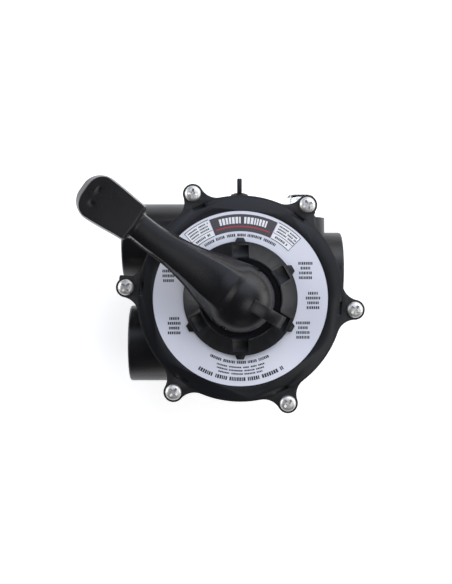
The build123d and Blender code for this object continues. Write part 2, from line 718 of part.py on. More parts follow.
# ---- Lever: domed hub, climbing arm, flat grip and the tongue that drops into a notch ----
hub_top = pin_z + hub_rise
arm_stations = [
    # distance, underside, top, width at the underside, width at the top
    (4, pin_z - 4, hub_top - 1.0, 2 * hub_radius - 2, 36),
    (26, pin_z - 1.0, hub_top - 0.5, 44, 31),
    (48, pin_z + 2.5, hub_top + 2.5, 32, 23),
    (74, pin_z + 8.5, hub_top + 7.5, 25.5, 20),
    (arm_length, pin_z + 14.0, hub_top + 13.0, 24, 19),
]
tooth_rise = lip_height + tooth_clearance
with BuildPart() as handle:
    with BuildSketch(Plane.XZ):
        with BuildLine():
            dome = ThreePointArc(
                (0, hub_top), (hub_radius * 0.75, hub_top - hub_rise * 0.38), (hub_radius, pin_z - 3)
            )
            Polyline(
                dome @ 1, (hub_radius, hub_foot + hub_rim), (0, hub_foot + hub_rim), (0, hub_top)
            )
        make_face()
    revolve(axis=Axis.Z)
    for distance, low, high, low_width, high_width in arm_stations:
        with BuildSketch(cross_plane(distance, arm_angle)):
            with Locations((0, low)):
                Polygon(
                    (-low_width / 2, 0), (low_width / 2, 0),
                    (high_width / 2, high - low), (-high_width / 2, high - low), align=None,
                )
            fillet(vertices().group_by(Axis.Z)[-1], radius=5)
    loft()
    # Grip: a flat paddle on the arm's slope, drafted so that its base is the widest
    rise = (cos(radians(arm_pitch)), sin(radians(arm_pitch)))
    out = polar(1, arm_angle)
    grip_plane = Plane(
        origin=(arm_length * out[0], arm_length * out[1], pin_z + grip_rise),
        x_dir=(out[0] * rise[0], out[1] * rise[0], rise[1]),
        z_dir=(-out[0] * rise[1], -out[1] * rise[1], rise[0]),
    )
    with BuildSketch(grip_plane) as grip_outline:
        shoulder = grip_length * grip_shoulder
        half_start = grip_start_width / 2
        half_wide = grip_end_width / 2
        half_tip = half_wide - grip_end_inset
        Polygon(
            (-grip_overlap, -half_start), (shoulder, -half_wide), (grip_length, -half_tip),
            (grip_length, half_tip), (shoulder, half_wide), (-grip_overlap, half_start), align=None,
        )
        tip_corners = grip_outline.vertices().filter_by(
            lambda corner: grip_plane.to_local_coords(corner).X > (shoulder + grip_length) / 2)
        fillet(tip_corners, radius=grip_end_round)
    extrude(amount=grip_thickness, taper=grip_taper)
    # Tongue, bent down outside the hub into the tooth that locks the lever
    with BuildSketch(side_plane(lock_angle)):
        Polygon(
            (-8, hub_top - 4), (-24, hub_top - 5), (-tooth_outer + 1.5, hub_top - 13),
            (-tooth_outer, pin_z - 4), (-tooth_outer, crown_surface(tooth_outer) + tooth_rise),
            (-tooth_inner, crown_surface(tooth_inner) + tooth_rise), (-tooth_inner, pin_z - 3),
            (-hub_radius + 1, hub_top - 14), (-8, pin_z), align=None,
        )
    extrude(amount=tongue_width / 2, both=True)
    # Feet under the two cheeks, flat on the washer when the lever is locked
    with BuildSketch(side_plane(lock_angle)):
        Polygon(
            (fulcrum, hub_foot), (fulcrum, hub_foot + hub_rim + foot_overlap),
            (-fulcrum, hub_foot + hub_rim + foot_overlap),
            (-fulcrum, hub_foot + 2 * fulcrum * tan(radians(lock_tilt))), align=None,
        )
    extrude(amount=hub_radius - foot_inset, both=True)
    # Slot for the stem and the bore for its pin
    slot_bottom = hub_foot - stem_slot_margin
    slot_top = pin_z + stem_radius + stem_slot_margin
    with BuildSketch(side_plane(lock_angle)):
        with Locations((0, (slot_bottom + slot_top) / 2)):
            Rectangle(2 * (fulcrum - stem_slot_margin), slot_top - slot_bottom)
    extrude(amount=stem_radius + stem_slot_clearance, both=True, mode=Mode.SUBTRACT)
    with BuildSketch(Plane(origin=(0, 0, pin_z), z_dir=pin_direction)):
        Circle(pin_radius + pin_clearance)
    extrude(amount=2 * hub_radius, both=True, mode=Mode.SUBTRACT)
handle.part.label = "handle"
export_step(handle.part, "parts/handle.step")

with BuildPart() as handle_pin:
    with BuildSketch(Plane(origin=(0, 0, pin_z), z_dir=pin_direction)):
        Circle(pin_radius)
    extrude(amount=pin_length / 2, both=True)
handle_pin.part.label = "handle_pin"
export_step(handle_pin.part, "parts/handle_pin.step")

# ---- Plug in the gauge port ----
with BuildPart() as plug:
    with BuildSketch(y_plane(gauge_boss_reach, 0, port_z)):
        Circle(plug_flange_radius)
    extrude(amount=plug_flange_height)
    with BuildSketch(y_plane(gauge_boss_reach, 0, port_z)):
        Circle(plug_shank_radius)
    extrude(amount=-plug_shank_length)
    with BuildSketch(y_plane(gauge_boss_reach, 0, port_z)):
        Circle(plug_shank_radius)
        Circle(plug_shank_radius - plug_ring_section, mode=Mode.SUBTRACT)
    extrude(amount=-2 * plug_ring_section, mode=Mode.SUBTRACT)
    with BuildSketch(y_plane(gauge_boss_reach + plug_flange_height, 0, port_z)):
        RectangleRounded(plug_wing_thickness, plug_wing_width, radius=plug_wing_round)
    extrude(amount=plug_wing_length)
plug.part.label = "gauge_plug"
export_step(plug.part, "parts/gauge_plug.step")

with BuildPart() as plug_ring:
    with Locations(y_plane(gauge_boss_reach - plug_ring_section, 0, port_z)):
        Torus(plug_shank_radius - plug_ring_section / 2, plug_ring_section / 2)
plug_ring.part.label = "gauge_plug_o_ring"
export_step(plug_ring.part, "parts/gauge_plug_o_ring.step")

# ---- Sight glass on the waste port, and its gasket ----
with BuildPart() as sight_gasket:
    with BuildSketch(y_plane(sight_boss_reach, sight_x, port_z)):
        Circle(sight_head_radius)
        Circle(sight_bore_radius, mode=Mode.SUBTRACT)
    extrude(amount=sight_gasket_thickness)
sight_gasket.part.label = "sight_glass_gasket"
export_step(sight_gasket.part, "parts/sight_glass_gasket.step")

glass_seat = sight_boss_reach + sight_gasket_thickness
with BuildPart() as sight_glass:
    with BuildSketch(y_plane(glass_seat, sight_x, port_z)):
        Circle(sight_head_radius)
    extrude(amount=sight_head_length)
    glass_rim = sight_glass.edges().filter_by(GeomType.CIRCLE).sort_by(Axis.Y)[-1]
    fillet(glass_rim, radius=sight_head_round)
    with BuildSketch(y_plane(glass_seat, sight_x, port_z)):
        Circle(sight_bore_radius - sight_shank_clearance)
    extrude(amount=-sight_shank_length)
    with BuildSketch(y_plane(glass_seat - sight_shank_length, sight_x, port_z)):
        Circle(sight_bore_radius - sight_shank_clearance - sight_wall)
    extrude(amount=sight_shank_length + sight_head_length - sight_wall, mode=Mode.SUBTRACT)
sight_glass.part.label = "sight_glass"
export_step(sight_glass.part, "parts/sight_glass.step")
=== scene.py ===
import json
from math import cos, degrees, exp, pi, radians, sin, sqrt, tau
from random import Random

import bmesh
import bpy
from mathutils import Matrix, Vector


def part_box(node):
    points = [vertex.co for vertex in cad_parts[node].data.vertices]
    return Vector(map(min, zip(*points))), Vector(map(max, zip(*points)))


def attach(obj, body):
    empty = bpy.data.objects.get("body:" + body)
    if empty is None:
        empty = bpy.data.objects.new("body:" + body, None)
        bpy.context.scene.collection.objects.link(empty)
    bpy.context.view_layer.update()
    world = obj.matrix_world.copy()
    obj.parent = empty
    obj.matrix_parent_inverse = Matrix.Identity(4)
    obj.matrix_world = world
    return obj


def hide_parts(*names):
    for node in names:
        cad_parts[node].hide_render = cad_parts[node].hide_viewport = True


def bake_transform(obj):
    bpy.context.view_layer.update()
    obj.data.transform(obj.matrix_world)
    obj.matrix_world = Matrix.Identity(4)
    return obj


# Looks of the top-mount multiport valve: moulded black ABS casing and lever, stainless
# screws, a printed position plate and a clear sight glass. Lengths below are in millimetres
# and are turned into metres by MM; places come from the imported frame.

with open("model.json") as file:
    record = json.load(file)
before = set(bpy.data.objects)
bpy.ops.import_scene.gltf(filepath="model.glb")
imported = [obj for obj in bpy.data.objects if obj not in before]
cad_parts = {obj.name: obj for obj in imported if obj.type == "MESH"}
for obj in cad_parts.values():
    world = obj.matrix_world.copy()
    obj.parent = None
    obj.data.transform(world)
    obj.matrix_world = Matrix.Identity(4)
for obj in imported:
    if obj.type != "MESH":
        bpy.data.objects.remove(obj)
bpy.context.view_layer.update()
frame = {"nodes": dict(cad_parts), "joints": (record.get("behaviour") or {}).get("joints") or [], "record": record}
MM = 0.001
scene = bpy.context.scene


def joint(name):
    """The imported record's entry for a joint."""
    return next(entry for entry in frame["joints"] if entry["name"] == name)


def span(node_name):
    """Lowest and highest corner of a CAD node, in millimetres."""
    low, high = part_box(node_name)
    return low / MM, high / MM


# ---- Places read from the frame ----
pin_z = joint("handle_tilt")["pos_m"][2] / MM
plate_top = span("position_label")[1].z
washer_top = span("handle_washer")[1].z

# ---- Sizes shared by several pieces ----
LOCK_ANGLE = 150.0          # bearing of the line through tongue, pin and hub
ARM_ANGLE = 145.3
SCREW_COUNT = 6
FIRST_SCREW = 54.4
BOLT_RADIUS = 91.3
SCREW_HEAD_HEIGHT = 3.6
LOOSE_SEED = 7              # draws how far each screw and nut is turned
NUT_WIDTH = 10.0            # across the flats
SPRING_WIRE = 1.5           # radius of the wire
SPRING_TURNS = 4
ABS_IOR = 1.44              # a little under bare ABS, whose 1.54 looks too glossy here
RIM_START = 80.4            # radius where the cover's textured rim begins
THREAD_PITCH = 2.2          # pipe thread in the port mouths
THREAD_DEPTH = 0.85
SCREW_THREAD_DEPTH = 0.42
SCREW_THREAD_TURNS = 11
FULCRUM = 14.0              # pin to the edge of the feet that the hub rocks on


# ---- Small builders ----
def linear(hex_colour):
    """sRGB hex to linear RGBA."""
    parts = [int(hex_colour[i:i + 2], 16) / 255 for i in (1, 3, 5)]
    return tuple(c / 12.92 if c <= 0.04045 else ((c + 0.055) / 1.055) ** 2.4 for c in parts) + (1,)


def paler(hex_colour, lift):
    """The same sRGB hex colour with each part raised by a step of 255."""
    return "#%02x%02x%02x" % tuple(min(255, int(hex_colour[i:i + 2], 16) + lift) for i in (1, 3, 5))


def put(tree, kind, inputs=None, **settings):
    """Adds a node with its settings; inputs maps a socket to a value or to another node's socket."""
    made = tree.nodes.new(kind)
    for key, value in settings.items():
        setattr(made, key, value)
    for key, value in (inputs or {}).items():
        if isinstance(value, bpy.types.NodeSocket):
            tree.links.new(value, made.inputs[key])
        else:
            made.inputs[key].default_value = value
    return made


def new_material(name, colour, roughness, metallic=0.0, ior=None, **sockets):
    """A Principled material; returns it with its tree, shader and Object coordinates."""
    material = bpy.data.materials.new(name)
    material.use_nodes = True
    tree = material.node_tree
    shader = tree.nodes["Principled BSDF"]
    shader.inputs["Base Color"].default_value = linear(colour)
    shader.inputs["Roughness"].default_value = roughness
    shader.inputs["Metallic"].default_value = metallic
    if ior:
        shader.inputs["IOR"].default_value = ior
    for key, value in sockets.items():
        shader.inputs[key.replace("_", " ")].default_value = value
    place = put(tree, "ShaderNodeTexCoord").outputs["Object"]
    return material, tree, shader, place


def grain(tree, place, size, detail=3.0, roughness=0.55):
    """Noise whose blobs are about size millimetres across."""
    settings = {"Vector": place, "Scale": 1 / (size * MM), "Detail": detail, "Roughness": roughness}
    return put(tree, "ShaderNodeTexNoise", settings).outputs["Fac"]


def ramp(tree, value, low, high, out_low, out_high):
    """Maps low..high to out_low..out_high, held at both ends."""
    settings = {"Value": value, "From Min": low, "From Max": high,
                "To Min": out_low, "To Max": out_high}
    return put(tree, "ShaderNodeMapRange", settings).outputs["Result"]


def blend_colour(tree, share, first, second):
    """Mixes two colours, each a hex value or a socket."""
    mix = put(tree, "ShaderNodeMix", {"Factor": share}, data_type="RGBA")
    for key, colour in ((6, first), (7, second)):
        if isinstance(colour, str):
            mix.inputs[key].default_value = linear(colour)
        else:
            tree.links.new(colour, mix.inputs[key])
    return mix.outputs[2]


def raise_surface(tree, shader, layers):
    """Stacks bumps on the shader: each layer is (height socket, depth in millimetres)."""
    normal = None
    for height, depth in layers:
        inputs = {"Height": height, "Distance": depth * MM, "Strength": 1.0}
        if normal:
            inputs["Normal"] = normal
        normal = put(tree, "ShaderNodeBump", inputs).outputs["Normal"]
    tree.links.new(normal, shader.inputs["Normal"])


def radius_from_axis(tree, place):
    """Distance from the valve's axis, in metres."""
    flat = put(tree, "ShaderNodeVectorMath", {0: place, 1: (1, 1, 0)}, operation="MULTIPLY")
    return put(tree, "ShaderNodeVectorMath", {0: flat.outputs[0]}, operation="LENGTH").outputs["Value"]


# ---- Materials ----
def moulded_abs(name, colour, roughness, texture_depth):
    """Black ABS from a satin mould: a faint orange peel, slow shade changes, fine dust marks."""
    material, tree, shader, place = new_material(name, colour, roughness, ior=ABS_IOR)
    cloud = grain(tree, place, 28, detail=4)
    peel = grain(tree, place, 1.6, detail=2)
    fine = grain(tree, place, 0.45, detail=2)
    tree.links.new(blend_colour(tree, ramp(tree, cloud, 0.35, 0.7, 0, 1), colour, paler(colour, 5)),
                   shader.inputs["Base Color"])
    uneven = put(tree, "ShaderNodeMath", {0: cloud, 1: fine}, operation="ADD").outputs[0]
    tree.links.new(ramp(tree, uneven, 0.7, 1.3, roughness - 0.05, roughness + 0.07),
                   shader.inputs["Roughness"])
    raise_surface(tree, shader, [(peel, texture_depth), (fine, texture_depth * 0.35)])
    return material


def cover_abs():
    """The cover's ABS: satin inside the ring, with a spark-eroded, duller rim and ears."""
    colour, dull_colour = "#0d0e12", "#151518"
    satin, dull = 0.34, 0.55
    material, tree, shader, place = new_material("moulded_abs_cover", colour, satin, ior=ABS_IOR)
    rim = ramp(tree, radius_from_axis(tree, place), RIM_START * MM, (RIM_START + 0.4) * MM, 0, 1)
    cloud = grain(tree, place, 30, detail=4)
    spark = grain(tree, place, 0.7, detail=3, roughness=0.7)
    tone = blend_colour(tree, ramp(tree, cloud, 0.35, 0.7, 0, 1), colour, "#121318")
    tree.links.new(blend_colour(tree, rim, tone, dull_colour), shader.inputs["Base Color"])
    tree.links.new(ramp(tree, rim, 0, 1, satin, dull), shader.inputs["Roughness"])
    depth = put(tree, "ShaderNodeMath", {0: rim, 1: 0.15}, operation="ADD").outputs[0]
    height = put(tree, "ShaderNodeMath", {0: spark, 1: depth}, operation="MULTIPLY").outputs[0]
    raise_surface(tree, shader, [(grain(tree, place, 2.2), 0.05), (height, 0.25)])
    return material


def plate_finish(name, colour):
    """Lacquered printed plate: smooth and satin, its grey drifting a little, barely wavy."""
    material, tree, shader, place = new_material(name, colour, 0.42, ior=1.5)
    cloud = grain(tree, place, 40, detail=3)
    tree.links.new(blend_colour(tree, ramp(tree, cloud, 0.3, 0.7, 0, 1), colour, paler(colour, 6)),
                   shader.inputs["Base Color"])
    raise_surface(tree, shader, [(grain(tree, place, 6), 0.02)])
    return material


def ink(name, colour):
    """Screen-printed ink: a thin film, a little mottled in its gloss."""
    material, tree, shader, place = new_material(name, colour, 0.5, ior=1.5)
    mottle = grain(tree, place, 1.2)
    tree.links.new(ramp(tree, mottle, 0.3, 0.7, 0.44, 0.58),
                   shader.inputs["Roughness"])
    raise_surface(tree, shader, [(mottle, 0.015)])
    return material


def turned_steel(name, colour, roughness):
    """Stainless fastener steel: cold-headed, bright, with small handling marks."""
    material, tree, shader, place = new_material(name, colour, roughness, metallic=1.0)
    marks = grain(tree, place, 0.9, detail=4, roughness=0.7)
    tree.links.new(ramp(tree, marks, 0.35, 0.7, roughness - 0.08, roughness + 0.14),
                   shader.inputs["Roughness"])
    tree.links.new(blend_colour(tree, ramp(tree, marks, 0.45, 0.75, 0, 1), colour, "#b4b2ae"),
                   shader.inputs["Base Color"])
    raise_surface(tree, shader, [(marks, 0.03)])
    return material


def moulded_rubber():
    """Nitrile rubber: matt, slightly blooming to grey."""
    black = "#131314"
    material, tree, shader, place = new_material("moulded_nitrile_rubber", black, 0.72, ior=1.52)
    bloom = grain(tree, place, 4, detail=4)
    tree.links.new(blend_colour(tree, ramp(tree, bloom, 0.4, 0.75, 0, 1), black, "#242426"),
                   shader.inputs["Base Color"])
    raise_surface(tree, shader, [(grain(tree, place, 0.5), 0.04)])
    return material


def skived_ptfe():
    """PTFE washer stock: waxy white, with a low, soft gloss."""
    material, tree, shader, place = new_material("skived_ptfe", "#d9d9d4", 0.45, ior=1.35)
    raise_surface(tree, shader, [(grain(tree, place, 0.8), 0.02)])
    return material


def clear_moulding():
    """Clear moulded SAN: glassy, with faint flow waves."""
    material, tree, shader, place = new_material(
        "clear_moulded_san", "#f2f5f6", 0.06, ior=1.57, Transmission_Weight=1.0)
    raise_surface(tree, shader, [(grain(tree, place, 5), 0.05)])
    return material


BODY_ABS = moulded_abs("moulded_abs_body", "#0c0c0f", 0.34, 0.05)
LEVER_ABS = moulded_abs("moulded_abs_lever", "#0b0b0e", 0.3, 0.03)
KEY_ABS = moulded_abs("moulded_abs_key", "#141417", 0.45, 0.05)
PLUG_ABS = moulded_abs("moulded_abs_plug", "#101010", 0.4, 0.05)
COVER_ABS = cover_abs()
PLATE = plate_finish("lacquered_position_plate", "#dcdee9")
PLATE_WHITE = plate_finish("printed_white_panel", "#eeeff3")
INK_BLACK = ink("screen_ink_black", "#2a2b33")
INK_BANNER = ink("screen_ink_charcoal", "#4a474d")
INK_RED = ink("screen_ink_red", "#a3424a")
STEEL = turned_steel("cold_headed_stainless", "#dedddb", 0.44)
SPRING_STEEL = turned_steel("drawn_spring_wire", "#b0afac", 0.34)
PIN_STEEL = turned_steel("ground_stainless_pin", "#bdbcb9", 0.22)
RUBBER = moulded_rubber()
PTFE = skived_ptfe()
CLEAR = clear_moulding()


# ---- Mesh helpers ----
def finish_piece(made, body, material, slot_name, *replaced):
    """Gives a finished mesh its material and its body, and hides the CAD nodes that it stands for.

    A piece that lies between two bodies is given none and is left unattached.
    """
    if material:
        made.data.materials.clear()
        made.data.materials.append(material)
    if body:
        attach(made, body)
    if replaced:
        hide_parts(*replaced)


def piece_from(name, bm, sharp=35):
    """Turns a bmesh into an object with smooth curved faces and crisp edges."""
    bmesh.ops.recalc_face_normals(bm, faces=bm.faces)
    mesh = bpy.data.meshes.new(name)
    bm.to_mesh(mesh)
    bm.free()
    mesh.shade_smooth()
    mesh.set_sharp_from_angle(angle=radians(sharp))
    made = bpy.data.objects.new(name, mesh)
    scene.collection.objects.link(made)
    return made


def settle(made, sharp=35):
    """Applies an object's modifiers and its place, and leaves it at the origin."""
    bpy.context.view_layer.update()
    evaluated = made.evaluated_get(bpy.context.evaluated_depsgraph_get())
    mesh = bpy.data.meshes.new_from_object(evaluated)
    mesh.transform(made.matrix_world)
    made.modifiers.clear()
    made.data = mesh
    made.matrix_world = Matrix.Identity(4)
    mesh.shade_smooth()
    mesh.set_sharp_from_angle(angle=radians(sharp))
    return made


def soften(made, width, segments=2):
    """Rounds the hard edges by a small width, in millimetres."""
    bevel = made.modifiers.new("soft_edges", "BEVEL")
    bevel.width = width * MM
    bevel.segments = segments
    bevel.limit_method = "ANGLE"
    bevel.angle_limit = radians(35)
    bevel.miter_outer = "MITER_ARC"
    bevel.use_clamp_overlap = True
    return settle(made)


def skin_loops(bm, loops):
    """Joins closed loops of the same length into a tube, with flat ends."""
    rings = [[bm.verts.new(Vector(point) * MM) for point in loop] for loop in loops]
    count = len(rings[0])
    for first, second in zip(rings, rings[1:]):
        for i in range(count):
            j = (i + 1) % count
            bm.faces.new((first[i], first[j], second[j], second[i]))
    bm.faces.new(list(reversed(rings[0])))
    bm.faces.new(rings[-1])


def turned(name, profile, start, direction, segments=64):
    """Solid of revolution: profile is (radius, distance along direction), from pole to pole."""
    out = Vector(direction).normalized()
    side = out.orthogonal().normalized()
    up = out.cross(side)
    bm = bmesh.new()
    loops = []
    for radius, along in profile:
        centre = Vector(start) + out * along
        loops.append([
            centre + (side * cos(tau * i / segments) + up * sin(tau * i / segments)) * radius
            for i in range(segments)
        ])
    skin_loops(bm, loops)
    return piece_from(name, bm)


def combine(made, other, operation):
    """Boolean of one closed mesh with another, which is then removed."""
    change = made.modifiers.new("combine", "BOOLEAN")
    change.operation = operation
    change.object = other
    change.solver = "EXACT"
    settle(made)
    bpy.data.objects.remove(other)


def refined(node_name, soft_edge, name):
    """Copy of a CAD node with its seams merged and its hard edges rounded."""
    bm = bmesh.new()
    bm.from_mesh(frame["nodes"][node_name].data)
    bmesh.ops.remove_doubles(bm, verts=bm.verts, dist=2e-6)
    bmesh.ops.dissolve_limit(bm, angle_limit=radians(1.0), verts=bm.verts, edges=bm.edges)
    mesh = bpy.data.meshes.new(name)
    bm.to_mesh(mesh)
    bm.free()
    made = bpy.data.objects.new(name, mesh)
    scene.collection.objects.link(made)
    soften(made, soft_edge)
    return made


def smooth_step(value, low, high):
    """0 below low, 1 above high, and a smooth rise between them."""
    share = min(1.0, max(0.0, (value - low) / (high - low)))
    return share * share * (3 - 2 * share)


def polar(radius, angle, height=0.0):
    """Point at a radius, a bearing in degrees and a height."""
    return Vector((radius * cos(radians(angle)), radius * sin(radians(angle)), height))


# ---- Camera, light and floor ----
# Each softbox: name, place and size in metres, watts and tint.
SOFTBOXES = [
    ("softbox_key", (1.0, 1.2, 0.95), (1.9, 1.3), 19, "#ffffff"),
    ("softbox_overhead", (0.2, 0.85, 1.35), (1.5, 1.3), 9.5, "#dfe8ff"),
    ("softbox_right", (1.3, 0.0, 0.7), (0.8, 0.7), 6.5, "#ffffff"),
    ("softbox_left", (-1.3, 0.3, 0.7), (0.9, 0.7), 11, "#ffffff"),
    ("softbox_front", (0.1, -1.4, 0.7), (0.8, 0.6), 0.6, "#ffffff"),
    ("softbox_grip", (0.42, -0.3, 1.3), (0.5, 0.5), 1.7, "#ffffff"),
]
FLOOR_SIZE = 20             # metres
CAMERA_DISTANCE = 800.0     # above the position plate
VIEW_HEIGHT = 462.7575      # what the camera takes in, from top to bottom, at the plate
VIEW_MIDDLE = (-11.4, 5.2)  # point of the plate that the camera looks at
SENSOR_HEIGHT = 24.0


def make_stage():
    """Pale floor that glows a little, softboxes round the valve, and a dim sky."""
    bm = bmesh.new()
    bmesh.ops.create_grid(bm, x_segments=1, y_segments=1, size=FLOOR_SIZE)
    floor = piece_from("floor", bm)
    paper = new_material("pale_paper", "#fbfbfb", 0.9, Emission_Color=linear("#ffffff"),
                         Emission_Strength=0.5)[0]
    floor.data.materials.append(paper)
    world = bpy.data.worlds.new("studio")
    world.use_nodes = True
    sky = world.node_tree.nodes["Background"]
    sky.inputs["Color"].default_value = linear("#eef1f6")
    sky.inputs["Strength"].default_value = 0.08
    scene.world = world
    for name, place, size, power, tint in SOFTBOXES:
        lamp = bpy.data.lights.new(name, "AREA")
        lamp.shape = "RECTANGLE"
        lamp.size, lamp.size_y = size
        lamp.energy = power
        lamp.color = linear(tint)[:3]
        box = bpy.data.objects.new(name, lamp)
        box.location = place
        box.rotation_euler = (Vector((0, 0, 0.1)) - Vector(place)).to_track_quat("-Z", "Y").to_euler()
        scene.collection.objects.link(box)
    scene.view_settings.view_transform = "Standard"


def make_camera():
    """Camera straight above the cover, with the valve a little right of and below the middle."""
    lens = bpy.data.cameras.new("camera")
    lens.sensor_fit = "VERTICAL"
    lens.sensor_height = SENSOR_HEIGHT
    lens.lens = SENSOR_HEIGHT * CAMERA_DISTANCE / VIEW_HEIGHT
    camera = bpy.data.objects.new("camera", lens)
    camera.location = Vector((*VIEW_MIDDLE, plate_top + CAMERA_DISTANCE)) * MM
    scene.collection.objects.link(camera)
    scene.camera = camera


# ---- CAD nodes shown as they are ----
def paint(material, *names):
    """Gives CAD nodes whose shape is right their material."""
    for name in names:
        made = frame["nodes"][name]
        made.data.materials.clear()
        made.data.materials.append(material)


# ---- Geometry Nodes builders ----
def node_group(name, inputs):
    """Empty Geometry Nodes group with a geometry in and out and the named extra inputs."""
    group = bpy.data.node_groups.new(name, "GeometryNodeTree")
    group.interface.new_socket("Geometry", in_out="INPUT", socket_type="NodeSocketGeometry")
    for label, kind in inputs:
        group.interface.new_socket(label, in_out="INPUT", socket_type=kind)
    group.interface.new_socket("Geometry", in_out="OUTPUT", socket_type="NodeSocketGeometry")
    entry = put(group, "NodeGroupInput")
    return group, {socket.name: socket for socket in entry.outputs if socket.name}


def close_group(group, geometry, material):
    """Ends a group with Realize Instances and Set Material."""
    solid = put(group, "GeometryNodeRealizeInstances", {"Geometry": geometry}).outputs[0]
    painted = put(group, "GeometryNodeSetMaterial", {"Geometry": solid, "Material": material})
    put(group, "NodeGroupOutput", {"Geometry": painted.outputs[0]})


def run_group(made, group, values):
    """Runs a group on an object with its named inputs, and keeps the result as a plain mesh."""
    change = made.modifiers.new(group.name, "NODES")
    change.node_group = group
    for socket in group.interface.items_tree:
        if socket.in_out == "INPUT" and socket.name in values:
            change[socket.identifier] = values[socket.name]
    return settle(made)


def make_ring_group():
    """Repeats the input round the Z axis, each copy turned a little by a fixed seed."""
    group, entry = node_group("set_round_the_cover", [
        ("Count", "NodeSocketInt"), ("Circle Radius", "NodeSocketFloat"),
        ("First Angle", "NodeSocketFloat"), ("Loose Turn", "NodeSocketFloat"),
        ("Material", "NodeSocketMaterial")])
    circle = put(group, "GeometryNodeMeshCircle", {
        "Vertices": entry["Count"], "Radius": entry["Circle Radius"]}).outputs[0]
    turn = put(group, "ShaderNodeCombineXYZ", {"Z": entry["First Angle"]}).outputs[0]
    placed = put(group, "GeometryNodeTransform", {"Geometry": circle, "Rotation": turn}).outputs[0]
    low = put(group, "ShaderNodeMath", {0: entry["Loose Turn"], 1: -1.0}, operation="MULTIPLY")
    loose = put(group, "FunctionNodeRandomValue", {
        "Min": low.outputs[0], "Max": entry["Loose Turn"], "Seed": LOOSE_SEED}, data_type="FLOAT")
    spin = put(group, "ShaderNodeCombineXYZ", {"Z": loose.outputs["Value"]}).outputs[0]
    copies = put(group, "GeometryNodeInstanceOnPoints", {
        "Points": placed, "Instance": entry["Geometry"], "Rotation": spin}).outputs[0]
    close_group(group, copies, entry["Material"])
    return group


def make_helix_group():
    """Bar wound round the Z axis: a thread's ridge with few sides, a spring's wire with many."""
    group, entry = node_group("wound_bar", [
        ("Turns", "NodeSocketFloat"), ("Coil Radius", "NodeSocketFloat"),
        ("Length", "NodeSocketFloat"), ("Bar Radius", "NodeSocketFloat"),
        ("Sides", "NodeSocketInt"), ("Steps", "NodeSocketInt"), ("Material", "NodeSocketMaterial")])
    coil = put(group, "GeometryNodeCurveSpiral", {
        "Resolution": entry["Steps"], "Rotations": entry["Turns"],
        "Start Radius": entry["Coil Radius"], "End Radius": entry["Coil Radius"],
        "Height": entry["Length"]}).outputs[0]
    section = put(group, "GeometryNodeCurvePrimitiveCircle", {
        "Resolution": entry["Sides"], "Radius": entry["Bar Radius"]}, mode="RADIUS").outputs[0]
    ridge = put(group, "GeometryNodeCurveToMesh", {
        "Curve": coil, "Profile Curve": section, "Fill Caps": True}).outputs[0]
    close_group(group, ridge, entry["Material"])
    return group


RING_GROUP = make_ring_group()
HELIX_GROUP = make_helix_group()


def helix(name, turns, radius, length, bar_radius, sides, steps_a_turn, finish):
    """Wound bar standing on the origin along +Z; lengths in millimetres."""
    made = bpy.data.objects.new(name, bpy.data.meshes.new(name))
    scene.collection.objects.link(made)
    return run_group(made, HELIX_GROUP, {
        "Turns": float(turns), "Coil Radius": radius * MM, "Length": length * MM,
        "Bar Radius": bar_radius * MM, "Sides": sides, "Steps": steps_a_turn, "Material": finish})


def thread_cutter(turns, radius, length, depth, steps_a_turn):
    """Ridge of square section, set on its edge, that cuts a V thread."""
    return helix("thread_cutter", turns, radius, length, depth, 4, steps_a_turn, STEEL)


# ---- Body and cover ----
def make_body():
    """The bowl with its ports and neck, with pipe threads cut in the three mouths."""
    body = refined("valve_body", 0.5, "body_moulding")
    for mount in frame["record"]["mounts"]:
        if mount["kind"] != "threaded_hole":
            continue
        inward = -Vector(mount["axis"])
        length = mount["dims"]["length_mm"] - 2.0
        cutter = thread_cutter(length / THREAD_PITCH, mount["dims"]["r_mm"], length, THREAD_DEPTH, 48)
        start = Vector(mount["pos_m"]) - inward * 1.2 * MM
        cutter.matrix_world = (Matrix.Translation(start)
                               @ inward.to_track_quat("Z", "Y").to_matrix().to_4x4())
        settle(cutter)
        combine(body, cutter, "DIFFERENCE")
    finish_piece(body, "casing", BODY_ABS, "body_plastic", "valve_body")


def make_cover():
    """The eared cover with its notched crown."""
    cover = refined("cover", 0.35, "cover_moulding")
    finish_piece(cover, "casing", COVER_ABS, "cover_plastic", "cover")


# ---- Screws and nuts ----
def box_piece(name, low, high):
    """Closed box between two corners, in millimetres."""
    bm = bmesh.new()
    bmesh.ops.create_cube(bm, size=1)
    size = Vector(high) - Vector(low)
    middle = (Vector(high) + Vector(low)) / 2
    for vert in bm.verts:
        vert.co = Vector([vert.co[i] * size[i] + middle[i] for i in range(3)]) * MM
    return piece_from(name, bm)


def set_round(made, loose_turn):
    """Sets copies of a fastener round the cover, each turned up to loose_turn degrees."""
    run_group(made, RING_GROUP, {
        "Count": SCREW_COUNT, "Circle Radius": BOLT_RADIUS * MM, "First Angle": radians(FIRST_SCREW),
        "Loose Turn": radians(loose_turn), "Material": STEEL})


